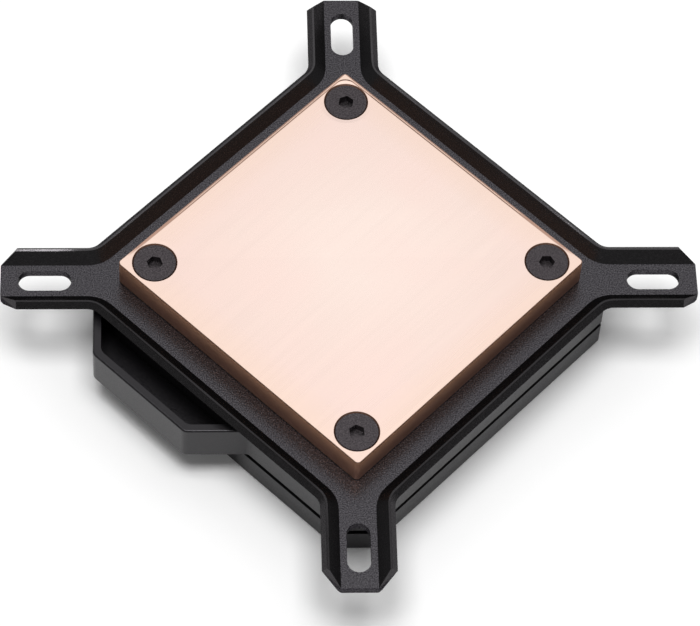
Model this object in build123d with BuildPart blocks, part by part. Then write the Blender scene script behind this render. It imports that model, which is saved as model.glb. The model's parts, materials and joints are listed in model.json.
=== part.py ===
from build123d import *
import math
import os

# CPU water block, lying on its top cover with the copper cold plate up.
# Millimetres. Z = 0 is the cover's outer face. The four bracket arms lie along X and Y,
# and the square body is turned 45 degrees between them.

os.makedirs("parts", exist_ok=True)

# Stack heights, from the cover's outer face up to the cold plate's face
cover_height = 5.4
shadow_gap = 1.2
housing_height = 7.8
sheet = 1.6
plate_thickness = 5.85

housing_z = cover_height + shadow_gap
seat_z = housing_z + housing_height
flat_z = seat_z + sheet
face_z = flat_z + plate_thickness

# Clearances
slip = 0.2
round_slip = 0.05

# Square body, and how far the pan and the cold plate stand back from its sides
body_side = 68.4
corner_cut = 4.2
pan_setback = 0.9
plate_setback = 5.15

body_half = body_side / 2
pan_side = body_side - 2 * pan_setback
plate_side = body_side - 2 * plate_setback

# Bracket: a pressed pan with a sloping flange along every long edge. Its slots take studs
# that stand on a square of side hole_span, give or take span_play.
hole_span = 76.25
span_play = 3.75
slot_width = 4.1
arm_flat = 6.4
tip_margin = 3.1
tip_round = 0.6
flange_run = 2.15
flange_rise = 1.95
throat_radius = 6.2
rim_edge = 0.25

slot_centre = hole_span * math.sqrt(2) / 2
slot_travel = span_play * math.sqrt(2)
arm_reach = slot_centre + (slot_travel + slot_width) / 2 + tip_margin

# Cold plate, its screws and the brass inserts moulded into the manifold
plate_corner = 0.8
plate_edge = 0.15
screw_inset = 4.65
screw_size = 4.0
screw_length = 14.0
screw_head = 7.4
head_edge = 0.15
head_angle = 90
screw_recess = 0.1
socket_flats = 2.5
socket_depth = 1.5
screw_play = 0.3
insert_flats = 5.6
insert_length = 6.0
insert_recess = 0.2
# How far each screw's hexagon stands turned: front, left, right and back corner
screw_turns = (50, 3, 16, 35)

screw_pitch = plate_side - 2 * screw_inset
screw_z = face_z - screw_recess - screw_length

# Spigot through the bracket, with the seal's groove and the flow chamber in its end
spigot_setback = 2.6
spigot_corner = 3.5
seal_web = 1.1
seal_width = 2.2
seal_height = 1.4
seal_corner = 5.0
chamber_web = 1.3
chamber_depth = 3.8
chamber_corner = 3.0

spigot_side = screw_pitch - 2 * spigot_setback
seal_side = spigot_side - 2 * seal_web - seal_width
chamber_side = seal_side - seal_width - 2 * chamber_web
ceiling_z = flat_z - chamber_depth

# Fins, with a collecting channel past each end of them
fin_thickness = 0.3
fin_gap = 0.3
fin_height = 3.0
end_channel = 1.6
end_land = 0.6
side_land = 2.0

fin_pitch = fin_thickness + fin_gap
fin_count = int((chamber_side - 2 * side_land - fin_gap) / fin_pitch)
fin_field = fin_count * fin_pitch + fin_gap
fin_length = chamber_side - 2 * (end_channel + end_land)

# Jet plate on the fins, and the gasket between it and the chamber's ceiling
jet_thickness = 0.5
jet_end_gap = 1.0
jet_overlap = 0.35
jet_slot_margin = 3.5
jet_slot_width = 1.6
gasket_margin = 1.2
gasket_wall = 1.8

jet_length = fin_length - 2 * jet_end_gap
jet_width = fin_field + 2 * jet_overlap

# Ports and passages
port_bore = 11.45
port_depth = 7.2
port_entry = 0.8
port_boss = 20.0
boss_recess = 0.4
port_pitch = 25.4
inlet_passage = 8.5
outlet_width = 4.0
outlet_length = 12.0

outlet_shift = chamber_side / 2 - outlet_width + port_bore / 2
port_places = [(outlet_shift - port_pitch, 0), (outlet_shift, 0)]

# Housing: the outer moulding with the open pocket on one side
housing_wall = 1.5
ledge = 1.5
pocket_reach = 7.9
pocket_face = 22.5
pocket_wall = 1.45
pocket_floor = 1.5
pocket_outer_round = 1.6
pocket_inner_round = 2.2
pocket_foot_round = 1.2
pocket_rim_round = 0.35
pin_mark = 2.3
pin_mark_depth = 0.15
pin_mark_shift = 6.2
pin_mark_inset = 2.2

ledge_top = housing_z + ledge

# Top cover, and the manifold's lower block that fills its room
cover_face = 3.4
cover_wall = 2.3
collar_wall = 1.5
cover_edge = 0.4
block_gap = 1.4

collar_side = body_side - 2 * cover_wall
room_side = collar_side - 2 * collar_wall
block_side = room_side - 2 * block_gap

# Cover screws, their heads under the bracket
cover_screw_size = 2.5
cover_screw_length = 10.0
cover_head = 4.5
cover_head_height = 2.5
cover_socket_flats = 2.0
cover_socket_depth = 1.2
cover_head_sink = 2.8
cover_skin = 0.9
cover_screw_setback = 0.75
cover_screw_offset = 11.4

cover_screw_x = spigot_side + cover_head + 2 * (slip + cover_screw_setback)
cover_screw_y = screw_pitch - 2 * cover_screw_offset


def level(z):
    """A plane at height z, square to the body: its X runs towards the back right side."""
    return Plane(origin=(0, 0, z), x_dir=(1, 1, 0), z_dir=(0, 0, 1))


def inner_cut(cut, wall):
    """The corner cut that keeps a wall even round an inner outline."""
    return cut - wall * (2 - math.sqrt(2))


def body_plan(z, side, cut):
    """The square plan with cut corners, at height z."""
    with BuildSketch(level(z)) as plan:
        Rectangle(side, side)
        chamfer(plan.vertices(), cut)
    return plan.sketch


def pan_plan(z, grow):
    """The pan's outline at height z, grown sideways: a square crossed by two arm blanks."""
    blank = 2 * (arm_reach + flange_run)
    side = pan_side + 2 * grow
    width = arm_flat + 2 * grow
    with BuildSketch(Plane.XY.offset(z)) as plan:
        Rectangle(side, side, rotation=45)
        Rectangle(blank, width)
        Rectangle(width, blank)
        throats = plan.vertices().filter_by(lambda v: math.hypot(v.X, v.Y) < arm_reach)
        fillet(throats, throat_radius - grow)
    return plan.sketch


def pocket_plan(z, inset, outer_round):
    """The side pocket's outline at height z: a trapezoid whose ends run along X and Y."""
    reach = pocket_reach - inset
    shift = inset * math.sqrt(2)
    start = body_half - corner_cut - shift
    end = body_half - corner_cut - 2 * pocket_reach - pocket_face + shift
    near = -body_half
    far = near - reach
    with BuildSketch(level(z)) as plan:
        with BuildLine():
            Polyline((near, start), (far, start - reach), (far, end + reach), (near, end), close=True)
        make_face()
        fillet(plan.vertices().group_by(Axis.X)[0], outer_round)
    return plan.sketch


# Bracket
flange_angle = math.atan2(flange_rise, flange_run)
crest_z = flat_z + flange_rise
band_z = crest_z - sheet * math.cos(flange_angle)
band_grow = flange_run + sheet * math.sin(flange_angle)
bend_grow = sheet * math.tan(flange_angle / 2)
flange_length = math.hypot(flange_run, flange_rise)

# The blank's corners are cut off at 45 degrees before it is bent, so the flanges' ends are
# square to their slope. This is what one arm loses, on a plane whose -Y runs up the flange.
slope = Plane(
    origin=(arm_reach, arm_flat / 2, flat_z),
    x_dir=(-1, 0, 0),
    z_dir=(0, -math.sin(flange_angle), math.cos(flange_angle)),
)
with BuildPart() as corner_waste:
    with BuildSketch(slope):
        waste = flange_length + sheet
        with BuildLine():
            Polyline((0, 0), (waste, -waste), (-sheet, -waste), (-sheet, 0), close=True)
        make_face()
    extrude(amount=2 * sheet, both=True)
    mirror(about=Plane.XZ)

with BuildPart() as bracket:
    # Outside of the pan, from the bent underside up to the flange's lower edge
    add(pan_plan(seat_z, bend_grow))
    add(pan_plan(band_z, band_grow))
    loft(ruled=True)
    # The flange's cut edge, square to its slope
    add(pan_plan(band_z, band_grow))
    add(pan_plan(crest_z, flange_run))
    loft(ruled=True)
    # Inside of the pan
    add(pan_plan(flat_z, 0))
    add(pan_plan(crest_z, flange_run))
    loft(ruled=True, mode=Mode.SUBTRACT)
    chamfer(bracket.edges().filter_by(lambda e: abs(e.center().Z - crest_z) < round_slip), rim_edge)
    # Arm ends: cut square, and from the bends outwards as the blank's cut corners come to lie
    side_room = flange_run + sheet
    corner_back = side_room * flange_length / band_grow
    square_side = pan_side + 4 * flange_run
    with BuildSketch(mode=Mode.PRIVATE) as bar:
        with BuildLine():
            Polyline(
                (0, 0),
                (arm_reach, 0),
                (arm_reach, arm_flat / 2),
                (arm_reach - corner_back, arm_flat / 2 + side_room),
                (0, arm_flat / 2 + side_room),
                close=True,
            )
        make_face()
        mirror(about=Plane.XZ)
        mirror(about=Plane.YZ)
    with BuildSketch(Plane.XY.offset(seat_z)) as trim:
        Rectangle(square_side, square_side, rotation=45)
        for angle in (0, 90):
            add(bar.sketch, rotation=angle)
        tips = trim.vertices().filter_by(lambda v: math.hypot(v.X, v.Y) > arm_reach)
        fillet(tips, tip_round)
    extrude(amount=2 * (crest_z - seat_z), mode=Mode.INTERSECT)
    with PolarLocations(0, 4):
        add(corner_waste.part, mode=Mode.SUBTRACT)
    # Stud slots along the arms, the opening for the spigot and the cold plate screws' holes
    with BuildSketch(Plane.XY.offset(seat_z)):
        with PolarLocations(slot_centre, 4):
            SlotCenterToCenter(slot_travel, slot_width)
        opening = spigot_side + 2 * slip
        RectangleRounded(opening, opening, spigot_corner + slip, rotation=45)
    extrude(amount=sheet, mode=Mode.SUBTRACT)
    with Locations(level(flat_z)):
        with GridLocations(screw_pitch, screw_pitch, 2, 2):
            Hole(screw_size / 2 + screw_play, depth=sheet)
bracket.part.label = "bracket"

# Cold plate
with BuildPart() as cold_plate:
    with BuildSketch(level(flat_z)):
        RectangleRounded(plate_side, plate_side, plate_corner)
    extrude(amount=plate_thickness)
    chamfer(cold_plate.faces().sort_by(Axis.Z)[-1].edges(), plate_edge)
    mouth = screw_head / 2 + (screw_recess + head_edge) * math.tan(math.radians(head_angle / 2))
    with Locations(level(face_z)):
        with GridLocations(screw_pitch, screw_pitch, 2, 2):
            CounterSinkHole(
                screw_size / 2 + screw_play, mouth + round_slip, counter_sink_angle=head_angle
            )
    # Channels between the fins, and a collecting channel at each end of them
    with BuildSketch(level(flat_z)):
        with GridLocations(0, fin_pitch, 1, fin_count + 1):
            Rectangle(fin_length + end_channel, fin_gap)
        with GridLocations(fin_length + end_channel, 0, 2, 1):
            Rectangle(end_channel, fin_field)
    extrude(amount=fin_height, mode=Mode.SUBTRACT)
cold_plate.part.label = "cold_plate"

# Manifold
flange_side = body_side - 2 * (housing_wall + slip)
with BuildPart() as manifold:
    # Flange inside the housing, spigot through the bracket, block inside the cover
    add(body_plan(ledge_top, flange_side, inner_cut(corner_cut, housing_wall + slip)))
    extrude(amount=seat_z - ledge_top)
    with BuildSketch(level(seat_z)):
        RectangleRounded(spigot_side, spigot_side, spigot_corner)
    extrude(amount=sheet)
    with BuildSketch(level(cover_face)):
        RectangleRounded(block_side, block_side, spigot_corner)
    extrude(amount=ledge_top - cover_face)
    with BuildSketch(level(boss_recess)):
        with Locations(*port_places):
            Circle(port_boss / 2)
    extrude(amount=cover_face - boss_recess)
    # Flow chamber and the seal's groove, open towards the cold plate
    with BuildSketch(level(flat_z)):
        RectangleRounded(chamber_side, chamber_side, chamber_corner)
    extrude(amount=-chamber_depth, mode=Mode.SUBTRACT)
    with BuildSketch(level(flat_z)):
        outer = seal_side + seal_width
        inner = seal_side - seal_width
        RectangleRounded(outer, outer, seal_corner + seal_width / 2)
        RectangleRounded(inner, inner, seal_corner - seal_width / 2, mode=Mode.SUBTRACT)
    extrude(amount=-seal_height, mode=Mode.SUBTRACT)
    # Port bores, the inlet passage to the middle and the outlet passage to the side
    with BuildSketch(level(boss_recess)):
        with Locations(*port_places):
            Circle(port_bore / 2)
    extrude(amount=port_depth, mode=Mode.SUBTRACT)
    mouths = manifold.edges().filter_by(GeomType.CIRCLE)
    mouths = mouths.filter_by(lambda e: abs(e.radius - port_bore / 2) < round_slip)
    chamfer(mouths.group_by(Axis.Z)[0], port_entry)
    with BuildSketch(level(boss_recess + port_depth)):
        with Locations(port_places[0]):
            Circle(inlet_passage / 2)
        with Locations(((chamber_side - outlet_width) / 2, 0)):
            SlotOverall(outlet_length, outlet_width, rotation=90)
    extrude(amount=ceiling_z - boss_recess - port_depth, mode=Mode.SUBTRACT)
    # Seats of the brass inserts, deep enough for the screws' tips
    with BuildSketch(level(seat_z)):
        with GridLocations(screw_pitch, screw_pitch, 2, 2):
            RegularPolygon(insert_flats / 2 + round_slip, 6, major_radius=False)
    extrude(amount=screw_z - slip - seat_z, mode=Mode.SUBTRACT)
    # Holes for the cover screws, with square pockets for their heads
    with Locations(level(seat_z)):
        with GridLocations(cover_screw_x, cover_screw_y, 2, 2):
            Hole(cover_screw_size / 2 + slip, depth=seat_z)
    with BuildSketch(level(seat_z)):
        with GridLocations(cover_screw_x, cover_screw_y, 2, 2):
            Rectangle(cover_head + 2 * slip, cover_head + 2 * slip)
    extrude(amount=-cover_head_sink, mode=Mode.SUBTRACT)
manifold.part.label = "manifold"

# Housing
with BuildPart() as housing:
    add(body_plan(housing_z, body_side, corner_cut))
    add(pocket_plan(housing_z, 0, pocket_outer_round))
    extrude(amount=housing_height)
    foot_y = body_half - corner_cut - 2 * pocket_reach - pocket_face
    foot = level(0).from_local_coords(Vector(-body_half, foot_y, 0))
    upright = housing.edges().filter_by(Axis.Z)
    upright = upright.filter_by(lambda e: math.hypot(e.center().X - foot.X, e.center().Y - foot.Y) < slip)
    fillet(upright, pocket_foot_round)
    # Room for the manifold's flange, and the ledge it sits on
    add(body_plan(ledge_top, body_side - 2 * housing_wall, inner_cut(corner_cut, housing_wall)))
    extrude(amount=seat_z - ledge_top, mode=Mode.SUBTRACT)
    with BuildSketch(level(housing_z)):
        hole = block_side + 2 * slip
        RectangleRounded(hole, hole, spigot_corner + slip)
    extrude(amount=ledge, mode=Mode.SUBTRACT)
    # The open pocket, and the round mark of the pin that pushed the moulding out
    add(pocket_plan(housing_z + pocket_floor, pocket_wall, pocket_inner_round))
    extrude(amount=housing_height - pocket_floor, mode=Mode.SUBTRACT)
    mark_x = -(body_half + pocket_reach - pocket_wall - pin_mark_inset)
    with BuildSketch(level(housing_z + pocket_floor)):
        with Locations((mark_x, pin_mark_shift)):
            Circle(pin_mark / 2)
    extrude(amount=-pin_mark_depth, mode=Mode.SUBTRACT)
    # The pocket's rim is rounded outside, and the rounding runs on along the body's side
    rim = housing.faces().sort_by(Axis.Z)[-1].outer_wire().edges()
    rim = rim.filter_by(lambda e: level(0).to_local_coords(e.center()).X < -body_half)
    fillet(rim, pocket_rim_round)
housing.part.label = "housing"

# Top cover
with BuildPart() as top_cover:
    add(body_plan(0, body_side, corner_cut))
    extrude(amount=cover_height)
    chamfer(top_cover.faces().sort_by(Axis.Z)[0].edges(), cover_edge)
    # A collar up to the housing leaves the narrow groove round the body
    collar_cut = inner_cut(corner_cut, cover_wall)
    add(body_plan(cover_height, collar_side, collar_cut))
    extrude(amount=shadow_gap)
    add(body_plan(cover_face, room_side, inner_cut(collar_cut, collar_wall)))
    extrude(amount=housing_z - cover_face, mode=Mode.SUBTRACT)
    # Openings round the port bosses, and the cover screws' threaded holes
    with BuildSketch(level(0)):
        with Locations(*port_places):
            Circle(port_boss / 2 + slip)
    extrude(amount=cover_face, mode=Mode.SUBTRACT)
    with Locations(level(cover_face)):
        with GridLocations(cover_screw_x, cover_screw_y, 2, 2):
            Hole(cover_screw_size / 2 + round_slip, depth=cover_face - cover_skin)
top_cover.part.label = "top_cover"

# Jet plate, clamped against the fins
with BuildPart() as jet_plate:
    with BuildSketch(level(flat_z - jet_thickness)):
        Rectangle(jet_length, jet_width)
        SlotOverall(jet_width - 2 * jet_slot_margin, jet_slot_width, rotation=90, mode=Mode.SUBTRACT)
    extrude(amount=jet_thickness)
jet_plate.part.label = "jet_plate"

# Flow gasket, between the chamber's ceiling and the jet plate
with BuildPart() as flow_gasket:
    with BuildSketch(level(ceiling_z)):
        Rectangle(jet_length - 2 * gasket_margin, jet_width - 2 * gasket_margin)
        hollow = gasket_margin + gasket_wall
        Rectangle(jet_length - 2 * hollow, jet_width - 2 * hollow, mode=Mode.SUBTRACT)
    extrude(amount=chamber_depth - jet_thickness)
flow_gasket.part.label = "flow_gasket"

# Main seal, squeezed to its groove's depth
with BuildPart() as main_seal:
    with BuildSketch(level(flat_z - seal_height)):
        outer = seal_side + seal_width - 2 * round_slip
        inner = seal_side - seal_width + 2 * round_slip
        RectangleRounded(outer, outer, seal_corner + seal_width / 2 - round_slip)
        RectangleRounded(inner, inner, seal_corner - seal_width / 2 + round_slip, mode=Mode.SUBTRACT)
    extrude(amount=seal_height)
main_seal.part.label = "main_seal"

# One cold plate screw, its tip at the plane's origin
cone_height = (screw_head - screw_size) / 2 / math.tan(math.radians(head_angle / 2))
with BuildPart() as plate_screw:
    with BuildSketch(Plane.XZ):
        with BuildLine():
            Polyline(
                (0, 0),
                (screw_size / 2, 0),
                (screw_size / 2, screw_length - head_edge - cone_height),
                (screw_head / 2, screw_length - head_edge),
                (screw_head / 2, screw_length),
                (0, screw_length),
                close=True,
            )
        make_face()
    revolve(axis=Axis.Z)
    with BuildSketch(Plane.XY.offset(screw_length)):
        RegularPolygon(socket_flats / 2, 6, major_radius=False)
    extrude(amount=-socket_depth, mode=Mode.SUBTRACT)

# One hexagonal brass insert, its lower end at the plane's origin
with BuildPart() as insert:
    with BuildSketch(Plane.XY):
        RegularPolygon(insert_flats / 2, 6, major_radius=False)
        Circle(screw_size / 2 + round_slip, mode=Mode.SUBTRACT)
    extrude(amount=insert_length)

# One cover screw, its tip at the plane's origin
with BuildPart() as cover_screw:
    with BuildSketch(Plane.XY):
        Circle(cover_screw_size / 2)
    extrude(amount=cover_screw_length)
    with BuildSketch(Plane.XY.offset(cover_screw_length)):
        Circle(cover_head / 2)
    extrude(amount=cover_head_height)
    with BuildSketch(Plane.XY.offset(cover_screw_length + cover_head_height)):
        RegularPolygon(cover_socket_flats / 2, 6, major_radius=False)
    extrude(amount=-cover_socket_depth, mode=Mode.SUBTRACT)

# The same fastener at the four corners of its pattern
parts = [bracket, cold_plate, manifold, housing, top_cover, jet_plate, flow_gasket, main_seal]
insert_z = seat_z - insert_recess - insert_length
cover_screw_z = seat_z - cover_head_sink - cover_screw_length
straight = (0, 0, 0, 0)
patterns = (
    ("plate_screw", plate_screw, screw_z, screw_pitch, screw_pitch, screw_turns),
    ("insert", insert, insert_z, screw_pitch, screw_pitch, straight),
    ("cover_screw", cover_screw, cover_screw_z, cover_screw_x, cover_screw_y, straight),
)
for kind, master, z, pitch_x, pitch_y, turns in patterns:
    corners = [(x, y) for x in (-pitch_x / 2, pitch_x / 2) for y in (-pitch_y / 2, pitch_y / 2)]
    for number, (corner, turn) in enumerate(zip(corners, turns), start=1):
        with BuildPart() as fastener:
            with Locations(level(z)):
                with Locations(corner):
                    add(master.part, rotation=(0, 0, turn))
        fastener.part.label = f"{kind}_{number}"
        parts.append(fastener)

for piece in parts:
    export_step(piece.part, f"parts/{piece.part.label}.step")
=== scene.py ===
# %% [markdown]
# # Dressing a water block for a processor
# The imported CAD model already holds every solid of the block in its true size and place. In this
# lesson it gets what the solids lack: light, a camera, finishes and a few details that are too
# fine for the CAD. The block lies on its top cover with the copper cold plate up.
#
# Each one sits at the origin with its place in its vertices, so everything below is in metres in
# the same frame, and nothing has to be fitted by eye.

import json
import math

import bpy
from mathutils import Matrix, Vector


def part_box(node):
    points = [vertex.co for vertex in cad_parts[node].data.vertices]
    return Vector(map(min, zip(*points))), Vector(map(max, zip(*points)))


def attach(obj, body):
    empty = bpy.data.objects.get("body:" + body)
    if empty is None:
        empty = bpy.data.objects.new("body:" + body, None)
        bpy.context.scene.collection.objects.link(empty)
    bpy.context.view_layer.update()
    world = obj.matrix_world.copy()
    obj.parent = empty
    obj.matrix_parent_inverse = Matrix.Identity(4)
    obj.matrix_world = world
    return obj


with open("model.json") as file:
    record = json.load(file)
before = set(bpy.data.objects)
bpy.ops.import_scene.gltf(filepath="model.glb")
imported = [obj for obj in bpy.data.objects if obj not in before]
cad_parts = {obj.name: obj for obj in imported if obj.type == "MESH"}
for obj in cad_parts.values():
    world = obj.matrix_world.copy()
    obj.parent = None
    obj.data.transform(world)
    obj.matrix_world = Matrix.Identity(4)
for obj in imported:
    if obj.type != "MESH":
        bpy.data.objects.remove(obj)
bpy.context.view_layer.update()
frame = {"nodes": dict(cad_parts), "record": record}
nodes = frame["nodes"]
print("solids:", ", ".join(sorted(nodes)))

# %% [markdown]
# ## The camera
# A picture of a flat square thing shows the camera's place very exactly: the way in which its
# edges draw together gives the distance, and the ratio of its diagonals gives the height of the
# view. One could also look through the camera and push it about, but with values for the turn,
# the rise and the distance the view is the same in every run. The three turns are simply
# multiplied, as they would be on a tripod head: first the roll, then the tilt, then the turn.

# %% Camera
mm = 0.001
image_width = 700
focal_pixels = 3803.5
sensor_width = 36
camera_turn = math.radians(-5.096)
camera_rise = math.radians(57.643)
camera_roll = math.radians(4.152)
camera_away = 669.66 * mm
aim = Vector((-0.2, -6.88, 16.0)) * mm

lens_data = bpy.data.cameras.new("camera")
lens_data.sensor_width = sensor_width
lens_data.lens = focal_pixels / image_width * sensor_width
camera = bpy.data.objects.new("camera", lens_data)
bpy.context.scene.collection.objects.link(camera)
bpy.context.scene.camera = camera

turn = Matrix.Rotation(camera_turn, 4, "Z")
tilt = Matrix.Rotation(math.pi / 2 - camera_rise, 4, "X")
roll = Matrix.Rotation(camera_roll, 4, "Z")
facing = turn @ tilt @ roll
place = aim + facing.to_3x3() @ Vector((0, 0, camera_away))
camera.matrix_world = Matrix.Translation(place) @ facing
print("camera at", [round(value, 3) for value in place], "lens", round(lens_data.lens, 1), "mm")

# %% [markdown]
# ## A short way to write materials
# Every finish below is one Principled shader with a few texture nodes. Written out in full, each
# node takes five lines, so a small helper keeps a material, its nodes and its links together. A
# value that is the same all over the piece is set on the shader itself.

# %% Finish helper
class Finish:
    """One material: its shader, and short ways to add nodes that feed it."""

    def __init__(self, name, **values):
        self.material = bpy.data.materials.new(name)
        self.material.use_nodes = True
        self.tree = self.material.node_tree
        self.shader = self.tree.nodes["Principled BSDF"]
        for socket, value in values.items():
            self.shader.inputs[socket.replace("_", " ")].default_value = value
        self.place = self.add("TexCoord").outputs["Object"]

    def add(self, kind, **settings):
        """A new node of this kind, with its settings."""
        node = self.tree.nodes.new("ShaderNode" + kind)
        for setting, value in settings.items():
            setattr(node, setting, value)
        return node

    def join(self, source, target):
        self.tree.links.new(source, target)

    def math(self, operation, first, second=0.0):
        """A sum on one or two values, each a number or another node's output."""
        node = self.add("Math", operation=operation)
        for socket, value in zip(node.inputs, (first, second)):
            if isinstance(value, (int, float)):
                socket.default_value = value
            else:
                self.join(value, socket)
        return node.outputs["Value"]

    def stretched(self, turn=0.0, scale=(1, 1, 1)):
        """The place on the piece, turned about Z and stretched."""
        node = self.add("Mapping", vector_type="TEXTURE")
        node.inputs["Rotation"].default_value = (0, 0, turn)
        node.inputs["Scale"].default_value = scale
        self.join(self.place, node.inputs["Vector"])
        return node.outputs["Vector"]

    def axes(self, place=None):
        """The X, Y and Z of a place, by name."""
        node = self.add("SeparateXYZ")
        self.join(place or self.place, node.inputs["Vector"])
        return node.outputs

    def noise(self, size, place=None, detail=2.0):
        """Soft noise from 0 to 1 whose blotches are about this size in metres."""
        node = self.add("TexNoise")
        node.inputs["Scale"].default_value = 1 / size
        node.inputs["Detail"].default_value = detail
        self.join(place or self.place, node.inputs["Vector"])
        return node.outputs["Fac"]

    def spread(self, value, low, high, start=0.0, end=1.0, rounded=False):
        """The value, moved from the range start to end into the range low to high."""
        node = self.add("MapRange", interpolation_type="SMOOTHSTEP" if rounded else "LINEAR")
        for name, number in zip(("From Min", "From Max", "To Min", "To Max"), (start, end, low, high)):
            node.inputs[name].default_value = number
        self.join(value, node.inputs["Value"])
        return node.outputs["Result"]

    def blend(self, factor, first, second):
        """A colour between two colours, or between a colour and another node's colour."""
        node = self.add("Mix", data_type="RGBA")
        self.join(factor, node.inputs["Factor"])
        for socket, colour in ((node.inputs[6], first), (node.inputs[7], second)):
            if isinstance(colour, tuple):
                socket.default_value = (*colour, 1)
            else:
                self.join(colour, socket)
        return node.outputs[2]

    def colour(self, value):
        self.join(value, self.shader.inputs["Base Color"])

    def roughness(self, value):
        self.join(value, self.shader.inputs["Roughness"])

    def relief(self, height, depth):
        """Bumps as deep as depth metres where height goes from 0 to 1."""
        node = self.add("Bump")
        node.inputs["Distance"].default_value = depth
        self.join(height, node.inputs["Height"])
        self.join(node.outputs["Normal"], self.shader.inputs["Normal"])


# %% [markdown]
# ## Floor
# The block lies on a white table. A plain white floor that catches the shadow is enough. Real
# white paper sends back about nine tenths of the light, and the picture's background is pure
# white, so the floor's material adds a little light of its own, for the camera and for what
# mirrors the floor, but not for the light that falls on the block. The shadow stays.

# %% Floor
floor_half = 6.0
floor_white = 0.95
floor_unevenness = 0.01
floor_patch = 0.4
floor_glow = 0.05

floor_mesh = bpy.data.meshes.new("floor")
signs = ((-1, -1), (1, -1), (1, 1), (-1, 1))
floor_mesh.from_pydata([(x * floor_half, y * floor_half, 0) for x, y in signs], [], [(0, 1, 2, 3)])
floor = bpy.data.objects.new("floor", floor_mesh)
bpy.context.scene.collection.objects.link(floor)

paper = Finish("white_table", Roughness=0.9, Specular_IOR_Level=0.0)
darkest, palest = floor_white - floor_unevenness, floor_white + floor_unevenness
paper.colour(paper.blend(paper.noise(floor_patch, detail=3), (darkest,) * 3, (palest,) * 3))
rays = paper.add("LightPath").outputs
seen = paper.math("MAXIMUM", rays["Is Camera Ray"], rays["Is Glossy Ray"])
seen = paper.math("MAXIMUM", seen, rays["Is Transmission Ray"])
paper.shader.inputs["Emission Color"].default_value = (1, 1, 1, 1)
paper.join(paper.math("MULTIPLY", seen, floor_glow), paper.shader.inputs["Emission Strength"])
floor_mesh.materials.append(paper.material)
print("floor", 2 * floor_half, "m wide")

# %% [markdown]
# ## Light
# Black and polished pieces show their surroundings more than their own colour. Each flat face
# mirrors one direction into the camera, and for the copper and the flats of the bracket that
# direction points up and back. A big soft light hangs there: the copper mirrors it and looks pale,
# and the flats turn grey with it. Its edges matter: where the low end of the light is, faces that
# lean back go dark.
#
# A smaller lamp overhead lights the table and draws the shadows under the arms. It is brighter,
# so it hangs where no face mirrors it into the camera. It could stand at the side, but then the
# copper's sides would catch it and throw a brown glow on the bracket. The room itself is dim,
# which keeps the sloping flanges dark. A lamp's power is worked out from how bright its face
# should look, so the level stays plain.

# %% Lamps
def soft_light(name, towards, away, width, height, face):
    """A rectangular lamp in a direction from the block, whose face looks as bright as face."""
    data = bpy.data.lights.new(name, "AREA")
    data.shape = "RECTANGLE"
    data.size = width
    data.size_y = height
    data.energy = face * math.pi * width * height
    lamp = bpy.data.objects.new(name, data)
    bpy.context.scene.collection.objects.link(lamp)
    way = Vector(towards).normalized()
    facing = way.to_track_quat("Z", "Y").to_matrix().to_4x4()
    lamp.matrix_world = Matrix.Translation(way * away) @ facing
    lamp.visible_camera = False
    print(name, round(data.energy, 2), "W")


mirrored_way = (0.05, 0.535, 0.845)
overhead_way = (-0.02, -0.11, 0.99)
soft_light("back_softbox", mirrored_way, away=1.0, width=1.4, height=1.0, face=0.86)
soft_light("top_light", overhead_way, away=1.4, width=0.8, height=0.6, face=10.2)

room_level = 0.15
room = bpy.data.worlds.new("room")
bpy.context.scene.world = room
room.use_nodes = True
room_light = room.node_tree.nodes["Background"]
room_light.inputs["Color"].default_value = (1, 1, 1, 1)
room_light.inputs["Strength"].default_value = room_level
bpy.context.scene.view_settings.view_transform = "Standard"

# %% [markdown]
# ## Putting finishes on
# The solids stay exactly as they are. Their small chamfers and rounds are in the CAD already, so
# the thin bright line along a rim is real shape and needs no Bevel modifier. One could add one,
# but it is held back by the shortest side in the mesh, and on curved rims those sides are tiny:
# the edge stays as sharp as before and the mesh fills with slivers.

# %% Dress helper
def dress(names, finish):
    """Puts one finish on the named solids."""
    for name in names:
        materials = nodes[name].data.materials
        materials.clear()
        materials.append(finish.material)
    print(finish.material.name, "with", len(finish.tree.nodes), "nodes on", ", ".join(names))


# %% [markdown]
# ## Bracket
# The bracket is pressed from steel sheet and powder coated. The powder melts into a skin with a
# fine grain of a fifth of a millimetre, which shows as speckle on the flats. The grain could be
# modelled, but it is far too fine for that. A bump alone works only with steep slopes, and those
# turn the sheen into a dull grey all over. So the grain lives mostly in how much light the skin
# sends back: dark and less dark specks, with a very low bump on top. On the slopes the melting
# powder runs off and lies smoother, so there the specks nearly vanish. Along the two near sides
# the narrow rim gets a painted shade.
#
# The skin is treated like a very dark metal. A dielectric sheen would be too weak on the flats,
# and the tint keeps the skin from turning into a mirror at the far edges.

# %% Powder coat
flat_height = 16.0 * mm
slope_start = flat_height + 0.06 * mm
rim_height = 17.72 * mm
speck_size = 0.2 * mm
sheen_size = 0.5 * mm
bump_size = 0.24 * mm
bump_depth = 0.025 * mm
side_change = 4 * mm
speck_dark, speck_pale = (0.028, 0.026, 0.030), (0.108, 0.103, 0.112)
slope_dark, slope_pale = (0.056, 0.053, 0.056), (0.070, 0.067, 0.070)
painted_rim_shade = (0.010, 0.009, 0.010)
# Nearly all values of a soft noise lie in this span.
most_noise = (0.3, 0.7)

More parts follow.
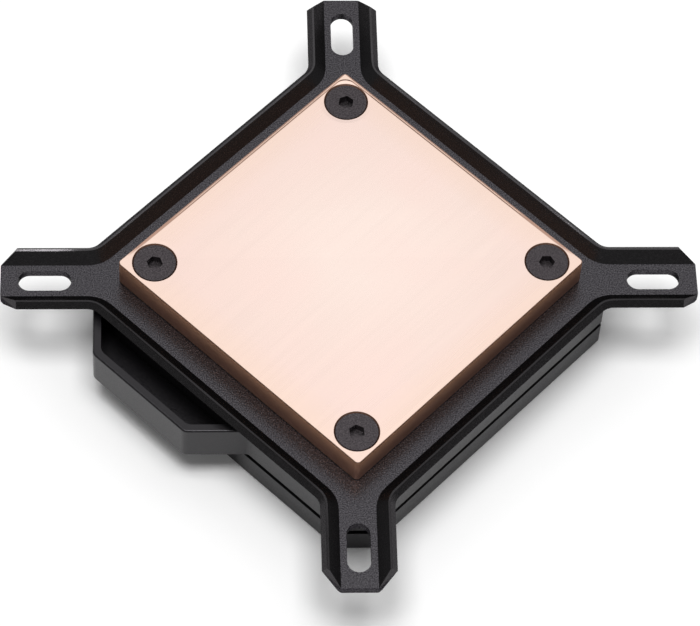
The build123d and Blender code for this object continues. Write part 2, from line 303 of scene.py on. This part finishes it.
coat = Finish("bracket_coat", Metallic=0.95, Specular_Tint=(0.3, 0.3, 0.3, 1))
on_bracket = coat.axes()
speckle = coat.spread(coat.noise(speck_size, detail=1), 0, 1, 0.38, 0.66)
settled = coat.blend(speckle, speck_dark, speck_pale)
run_off = coat.blend(speckle, slope_dark, slope_pale)
on_slope = coat.math("GREATER_THAN", on_bracket["Z"], slope_start)
skin = coat.blend(on_slope, settled, run_off)
# Painted shade: the narrow rim is darker along the two near sides.
on_rim = coat.math("GREATER_THAN", on_bracket["Z"], rim_height)
near_side = coat.spread(on_bracket["Y"], 0.55, 0.0, -side_change, side_change)
coat.colour(coat.blend(coat.math("MULTIPLY", on_rim, near_side), skin, painted_rim_shade))
coat.roughness(coat.spread(coat.noise(sheen_size), 0.22, 0.30, *most_noise))
coat.relief(coat.noise(bump_size, detail=1), bump_depth)
dress(["bracket"], coat)

# %% [markdown]
# ## Cold plate: lapped face
# The plate is machined copper. Its face was lapped in one direction, so fine scratches run along
# one side of the plate: a noise stretched that way gives them. Large, faint blotches change the
# colour between pink and cream, and a painted highlight makes the middle a little paler than the
# rim. Seen from the camera the face mirrors a white light, so these colours are nearly what the picture
# shows.

# %% Lapped copper
plate_low, plate_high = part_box("cold_plate")
quarter = math.pi / 4
stroke_size = (30 * mm, 1.1 * mm, 1.1 * mm)
blotch_size = 16 * mm
highlight_spot = (3 * mm, 4 * mm, plate_high.z)
pale_until, cream_from = 8 * mm, 38 * mm
highlight_copper, cream_copper = (0.92, 0.76, 0.69), (0.86, 0.665, 0.595)
pink_copper = (0.95, 0.72, 0.66)
scratched_copper = (0.78, 0.60, 0.52)

copper = Finish("copper", Metallic=1.0)
strokes = copper.noise(1.0, copper.stretched(quarter, stroke_size), detail=3)
blotches = copper.spread(copper.noise(blotch_size, detail=3), 0.0, 1.0, 0.35, 0.65)
# Painted highlight: the face is paler round a spot near the middle.
from_spot = copper.add("VectorMath", operation="DISTANCE")
copper.join(copper.place, from_spot.inputs[0])
from_spot.inputs[1].default_value = highlight_spot
paler = copper.spread(from_spot.outputs["Value"], 1.0, 0.0, pale_until, cream_from)
lapped = copper.blend(paler, cream_copper, highlight_copper)
lapped = copper.blend(copper.math("MULTIPLY", blotches, 0.35), lapped, pink_copper)
patches = copper.math("MULTIPLY", copper.spread(strokes, 0.0, 0.3, 0.5, 0.9), blotches)
lapped = copper.blend(patches, lapped, scratched_copper)
print("face at", round(plate_high.z / mm, 2), "mm")

# %% [markdown]
# ## Cold plate: milled sides
# The sides were only milled and have gone brown in the air, and they are darker toward the back.
# Toward the face they are painted lighter and redder, painted light where the upper side sees more
# of the room, and a painted shade runs along the foot, where plate and bracket meet. Height decides
# between face, side and foot, so one material serves the whole plate and no face has to be picked by hand.

# %% Milled copper
cut_size = (20 * mm, 20 * mm, 0.3 * mm)
face_play = 0.01 * mm
seam_top = flat_height + 0.35 * mm
seam_blur = 0.2 * mm
back_blur = 0.5 * mm
side_dull = (0.43, 0.43, 0.43)
milled_dark, milled_pale = (0.74, 0.40, 0.28), (0.86, 0.48, 0.34)
painted_light_red = (1.0, 0.57, 0.35)
foot_seam_shade = (0.05, 0.03, 0.025)
back_brown = (0.30, 0.20, 0.16)

on_plate = copper.axes()
below_face = copper.math("LESS_THAN", on_plate["Z"], plate_high.z - face_play)
cut_lines = copper.noise(1.0, copper.stretched(0, cut_size), detail=2)
brown = copper.blend(cut_lines, milled_dark, milled_pale)
# Painted light: the sides turn lighter and redder toward the face.
up_side = copper.spread(on_plate["Z"], 0.0, 1.0, flat_height, plate_high.z)
brown = copper.blend(copper.math("POWER", up_side, 1.6), brown, painted_light_red)
# Painted shade: a dark line along the foot, where plate and bracket meet.
seam = copper.spread(on_plate["Z"], 1.0, 0.0, seam_top - seam_blur, seam_top)
brown = copper.blend(seam, brown, foot_seam_shade)
at_back = copper.spread(on_plate["Y"], 0.0, 0.75, -back_blur, back_blur)
brown = copper.blend(at_back, brown, back_brown)
lapped_dull = copper.spread(strokes, 0.26, 0.3, *most_noise)
copper.roughness(copper.blend(below_face, lapped_dull, side_dull))
print("sides", round((plate_high.z - flat_height) / mm, 2), "mm high")

# %% [markdown]
# ## Where on the plate
# The details that follow lie at fixed distances from the plate's edge or from its screws. The
# four corners of a square are alike, so the place is folded: turned along the sides of the plate
# and made positive, one corner stands for all four. The plate's width and the screws' place and
# size come from the boxes of the solids. Painting masks by hand would also work, but a distance
# follows when the plate changes.

# %% Distances on the plate
plate_corner = 0.8 * mm
step_inset = 0.55 * mm
step_corner = 2.2 * mm

corner_reach = plate_corner * (math.sqrt(2) - 1)
plate_half = ((plate_high.x - plate_low.x) / 2 + corner_reach) / math.sqrt(2)
screw_low, screw_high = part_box("plate_screw_1")
screw_half = (screw_low + screw_high).to_2d().length / 2 / math.sqrt(2)
head_radius = (screw_high.x - screw_low.x) / 2
folded = copper.axes(copper.stretched(quarter))
from_middle = [copper.math("ABSOLUTE", folded[axis]) for axis in "XY"]


def corner_distance(half, lowest):
    """Distance from the nearest of four points, or from a square's sides where it stops at 0."""
    parts = [copper.math("SUBTRACT", value, half) for value in from_middle]
    parts = [copper.math("MAXIMUM", value, lowest) for value in parts]
    squares = [copper.math("MULTIPLY", value, value) for value in parts]
    return copper.math("SQRT", copper.math("ADD", *squares))


from_edge = corner_distance(plate_half - step_inset - step_corner, 0.0)
from_screw = corner_distance(screw_half, -1.0)
outermost = copper.math("MAXIMUM", *from_middle)
print("edge at", round(plate_half / mm, 2), "mm, screws at", round(screw_half / mm, 2), "mm")

# %% [markdown]
# ## Low step and dimple
# Just inside the two far edges runs a step less than a tenth of a millimetre high, left by the
# last machining pass. Toward the front the lapping has taken it away. The face also sinks a
# little round the screw at the far corner. Both are far too low to model, but the copper mirrors
# the light, so each slope shows as a thin brown or pale line. One bump in true metres carries
# both, with the scratches on top.

# %% Low step and dimple
step_width = 0.4 * mm
step_depth = 0.08 * mm
dimple_depth = 0.07 * mm
dimple_start = head_radius + 0.2 * mm
dimple_end = head_radius + 1.1 * mm
worn_to = 1 * mm
whole_from = 11 * mm
scratch_depth = 0.0008 * mm

step_start, step_end = step_corner - step_width / 2, step_corner + step_width / 2
falls = copper.spread(from_edge, step_depth, 0.0, step_start, step_end, rounded=True)
dips = copper.spread(from_screw, -dimple_depth, 0.0, dimple_start, dimple_end, rounded=True)
far_half = copper.spread(on_plate["Y"], 0.0, 1.0, worn_to, whole_from)
on_face = copper.math("SUBTRACT", 1.0, below_face)
shape = copper.math("MULTIPLY", copper.math("ADD", falls, dips), far_half)
shape = copper.math("MULTIPLY", shape, on_face)
shape = copper.math("ADD", shape, copper.math("MULTIPLY", strokes, scratch_depth))
copper.relief(shape, 1.0)
print("step", round(step_depth / mm, 2), "mm deep, dimple", round(dimple_depth / mm, 2), "mm deep")

# %% [markdown]
# ## Stains, bare edges and painted shade
# Outside the step the copper was touched less by the lapping and is warmer in colour. Along the
# two far sides, painted shade lies on the slope of the step and on the outermost rim. The chamfer
# and the countersinks were cut by a tool and never polished, and they also get painted shade, so
# they are darker than the milled sides. The step, the edge and the screws give these masks from the same
# distances as before. Only the chamfer is found by height.

# %% Stains and painted shade on the copper
warm_band = 6 * mm
rim_width = 0.32 * mm
chamfer_height = 0.16 * mm
countersink_play = 0.6 * mm
warm_copper = (0.89, 0.68, 0.575)
outer_copper = (0.90, 0.68, 0.56)
step_shade = (0.46, 0.27, 0.20)
far_rim_shade = (0.42, 0.26, 0.20)
cut_brown_and_shade = (0.36, 0.19, 0.13)

warm = copper.spread(outermost, 0.0, 0.9, plate_half - warm_band, plate_half)
face_skin = copper.blend(warm, lapped, warm_copper)
outside = copper.math("MULTIPLY", copper.spread(falls, 1.0, 0.0, 0.0, step_depth), far_half)
face_skin = copper.blend(outside, face_skin, outer_copper)
# Painted shade: a brown line on the slope of the step along the far sides.
on_step = copper.math("MULTIPLY", outside, copper.math("SUBTRACT", 1.0, outside))
face_skin = copper.blend(copper.spread(on_step, 0.0, 0.9, 0.03, 0.16), face_skin, step_shade)
# Painted shade: a dark line on the outermost rim along the far sides.
at_rim = copper.math("GREATER_THAN", outermost, plate_half - rim_width)
face_skin = copper.blend(copper.math("MULTIPLY", at_rim, far_half), face_skin, far_rim_shade)

# Painted shade, partly raw tool-cut copper: the chamfer and the countersinks are darker.
on_chamfer = copper.math("GREATER_THAN", on_plate["Z"], plate_high.z - chamfer_height)
in_hole = copper.math("LESS_THAN", from_screw, head_radius + countersink_play)
brown = copper.blend(copper.math("MAXIMUM", on_chamfer, in_hole), brown, cut_brown_and_shade)
copper.colour(copper.blend(below_face, face_skin, brown))
dress(["cold_plate"], copper)

# %% [markdown]
# ## Black screws
# The four screws are steel with a black oxide skin, rubbed with oil. It could be built as two
# layers, bright steel under a dark coat. One layer is simpler and needs fewer values: the shader
# stays metallic, and only its colour is dark.

# %% Black oxide
oxide_speck = 0.22 * mm
oxide_sheen = 0.4 * mm
oxide_bump = 0.25 * mm
oxide_depth = 0.02 * mm
oxide_dark, oxide_pale = (0.040, 0.035, 0.038), (0.094, 0.083, 0.088)

oxide = Finish("black_screw", Metallic=1.0)
speckle = oxide.spread(oxide.noise(oxide_speck, detail=1), 0, 1, 0.35, 0.7)
oxide.colour(oxide.blend(speckle, oxide_dark, oxide_pale))
oxide.roughness(oxide.spread(oxide.noise(oxide_sheen, detail=3), 0.28, 0.4, *most_noise))
oxide.relief(oxide.noise(oxide_bump, detail=3), oxide_depth)
dress([name for name in nodes if name.startswith("plate_screw")], oxide)

# %% [markdown]
# ## Moulded pieces
# Housing, top cover and manifold are moulded from filled black plastic. A mould that was spark
# eroded leaves a very fine matt skin. One black for all three would be simpler, but each came
# from another mould, so they share a recipe and each gets its own tone and gloss.

# %% Moulded plastic
cloud_size = 4 * mm
gloss_size = 0.25 * mm
eroded_size = 0.2 * mm
eroded_depth = 0.012 * mm


def moulded(name, dark, light, dull):
    """Black plastic with a fine eroded skin."""
    finish = Finish(name, Specular_IOR_Level=0.36, Specular_Tint=(0.98, 0.95, 1, 1))
    finish.colour(finish.blend(finish.noise(cloud_size, detail=3), dark, light))
    finish.roughness(finish.spread(finish.noise(gloss_size), dull - 0.05, dull + 0.07, *most_noise))
    finish.relief(finish.noise(eroded_size, detail=3), eroded_depth)
    return finish


housing_plastic = moulded("housing_plastic", (0.005, 0.0045, 0.0053), (0.007, 0.0063, 0.0074), 0.33)
cover_plastic = moulded("cover_plastic", (0.0045, 0.0043, 0.0048), (0.0065, 0.0062, 0.007), 0.36)
block_plastic = moulded("port_block_plastic", (0.004, 0.004, 0.0043), (0.006, 0.006, 0.0064), 0.42)
dress(["housing"], housing_plastic)
dress(["top_cover"], cover_plastic)
dress(["manifold"], block_plastic)

# %% [markdown]
# ## Rubber inside
# Seal, gasket, jet plate, inserts and cover screws are hidden while the block is shut, but the
# part may be opened or cut away, so they get their own finishes too. The seal and the gasket are
# moulded rubber, dull and nearly even. One flat grey would do for a hidden ring, but a little
# change in tone and gloss is what tells rubber from plastic in a cut-away picture.

# %% Rubber
rubber_patch = 2 * mm
rubber_sheen = 0.5 * mm
rubber_bump = 0.3 * mm
rubber_depth = 0.01 * mm

rubber = Finish("seal_rubber")
rubber.colour(rubber.blend(rubber.noise(rubber_patch), (0.012, 0.012, 0.012), (0.024, 0.024, 0.024)))
rubber.roughness(rubber.spread(rubber.noise(rubber_sheen), 0.5, 0.7, *most_noise))
rubber.relief(rubber.noise(rubber_bump), rubber_depth)
dress(["main_seal", "flow_gasket"], rubber)

# %% [markdown]
# ## Metal inside
# The jet plate is rolled steel sheet, the inserts are brass bar, and the cover screws are zinc
# plated. Each could have a material written out by itself, but they differ only in colour and in
# how their grain runs, so they share one recipe: a noise stretched along X looks rolled or drawn,
# and one that isn't stretched looks plated.

# %% Steel, brass and zinc
metal_grain = 0.6 * mm
metal_depth = 0.006 * mm


def bare_metal(name, dark, light, stroke):
    """Bare metal with fine lines along X, or with an even grain where stroke is 1."""
    finish = Finish(name, Metallic=1.0)
    grain_shape = (metal_grain * stroke, metal_grain, metal_grain)
    lines = finish.noise(1.0, finish.stretched(0, grain_shape), detail=3)
    finish.colour(finish.blend(lines, dark, light))
    finish.roughness(finish.spread(lines, 0.24, 0.38, *most_noise))
    finish.relief(lines, metal_depth)
    return finish


steel = bare_metal("jet_steel", (0.5, 0.5, 0.5), (0.62, 0.62, 0.61), 30)
brass = bare_metal("insert_brass", (0.62, 0.44, 0.17), (0.78, 0.58, 0.26), 8)
zinc = bare_metal("zinc_screw", (0.5, 0.52, 0.54), (0.66, 0.67, 0.68), 1)
dress(["jet_plate"], steel)
dress([name for name in nodes if name.startswith("insert")], brass)
dress([name for name in nodes if name.startswith("cover_screw")], zinc)

# %% [markdown]
# ## Port threads
# The two ports take hose fittings with a quarter-inch pipe thread. The solid has a plain bore of
# the thread's inner size. A ridge that winds up the bore shows the thread: a strip of mesh with a
# four-sided section that follows a helix, its base just inside the wall. A Screw modifier could
# wind it too, but here both ends also have to fade into the wall.

# %% Thread ridge
thread_pitch = 1.337 * mm
thread_proud = 0.32 * mm
thread_base = 0.03 * mm
base_half = 0.42
crest_half = 0.08
steps_per_turn = 64
fade_steps = 12


def ridge_points(middle, bore, low, count):
    """Sections of four points that wind up a bore, fading into its wall at both ends."""
    points = []
    for step in range(count + 1):
        angle = 2 * math.pi * step / steps_per_turn
        z = low + thread_pitch * (0.5 + step / steps_per_turn)
        fade = min(1, step / fade_steps, (count - step) / fade_steps)
        outer = bore + thread_base
        crest = bore - thread_proud * fade
        section = ((outer, -base_half), (crest, -crest_half), (crest, crest_half), (outer, base_half))
        for radius, lift in section:
            x = middle.x + radius * math.cos(angle)
            y = middle.y + radius * math.sin(angle)
            points.append((x, y, z + lift * thread_pitch))
    return points


def ridge_faces(count):
    """Four faces from each section to the next, and one at each end."""
    faces = []
    for start in range(0, 4 * count, 4):
        for side in range(4):
            other = (side + 1) % 4
            faces.append((start + side, start + other, start + 4 + other, start + 4 + side))
    faces.append((3, 2, 1, 0))
    faces.append(tuple(4 * count + side for side in range(4)))
    return faces


# %% [markdown]
# ## Threads in the ports
# Each threaded hole of the record gives a bore's middle, radius and length, so the ridge goes
# where the CAD says. It is smooth along the helix and sharp where its flanks meet.

# %% Threads
def thread(name, middle, bore, length):
    """A helical ridge along the whole of an upright bore."""
    count = int((length - thread_pitch) / thread_pitch * steps_per_turn)
    mesh = bpy.data.meshes.new(name)
    mesh.from_pydata(ridge_points(middle, bore, middle.z - length / 2, count), [], ridge_faces(count))
    mesh.validate()
    mesh.shade_smooth()
    mesh.set_sharp_from_angle(angle=math.radians(40))
    mesh.materials.append(block_plastic.material)
    piece = bpy.data.objects.new(name, mesh)
    bpy.context.scene.collection.objects.link(piece)
    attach(piece, "root")
    print(name, len(mesh.polygons), "faces")


for mount in frame["record"]["mounts"]:
    if mount["kind"] == "threaded_hole":
        size = mount["dims"]
        thread("thread_" + mount["name"], Vector(mount["pos_m"]), size["r_mm"] * mm, size["length_mm"] * mm)
